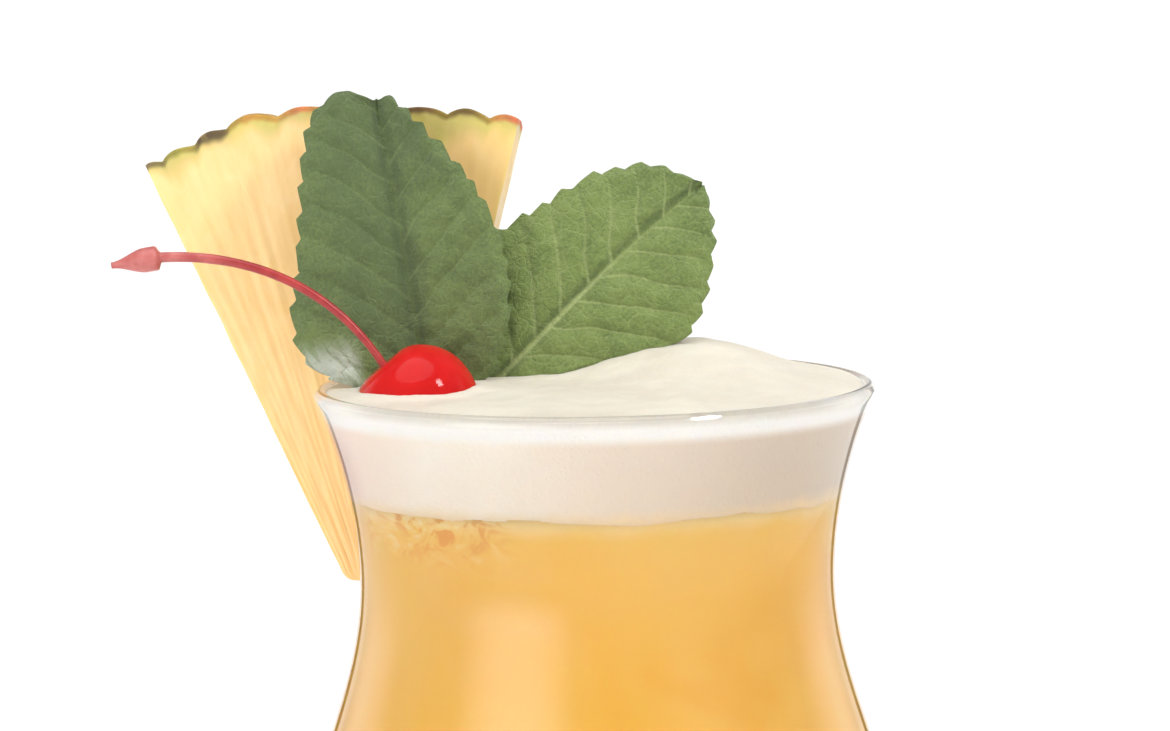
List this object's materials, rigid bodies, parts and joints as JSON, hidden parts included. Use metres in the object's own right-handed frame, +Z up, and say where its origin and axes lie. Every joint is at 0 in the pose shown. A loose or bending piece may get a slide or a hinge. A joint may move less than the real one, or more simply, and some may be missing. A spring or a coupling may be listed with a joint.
{
  "type": "mai tai cocktail",
  "caption": "Tall footed tulip glass of cloudy amber cocktail under a thick cream foam, with a pineapple wedge on the rim, mint leaves and a stemmed cherry.",
  "frame": {"origin": "centre of the foot's flat underside, on the glass's axis", "axes": "+Z up along the glass's axis, -Y towards the viewer of the picture, +X to the viewer's right"},
  "size_m": [0.1105, 0.086, 0.2311],
  "materials": {
    "glass": "clear, polished",
    "juice": "cloudy amber drink",
    "foam": "fine cream foam",
    "pineapple": "wet fibrous fruit with a green brown rind",
    "cherry": "glossy preserved cherry",
    "cherry_stem": "satin",
    "mint": "downy veined leaf"
  },
  "bodies": {
    "root": {"glass": "glass", "juice": "juice", "foam": "foam", "pineapple_wedge": "pineapple", "cherry": "cherry", "cherry_stem": "cherry_stem", "mint_leaf_left": "mint", "mint_leaf_right": "mint"}
  },
  "joints": []
}
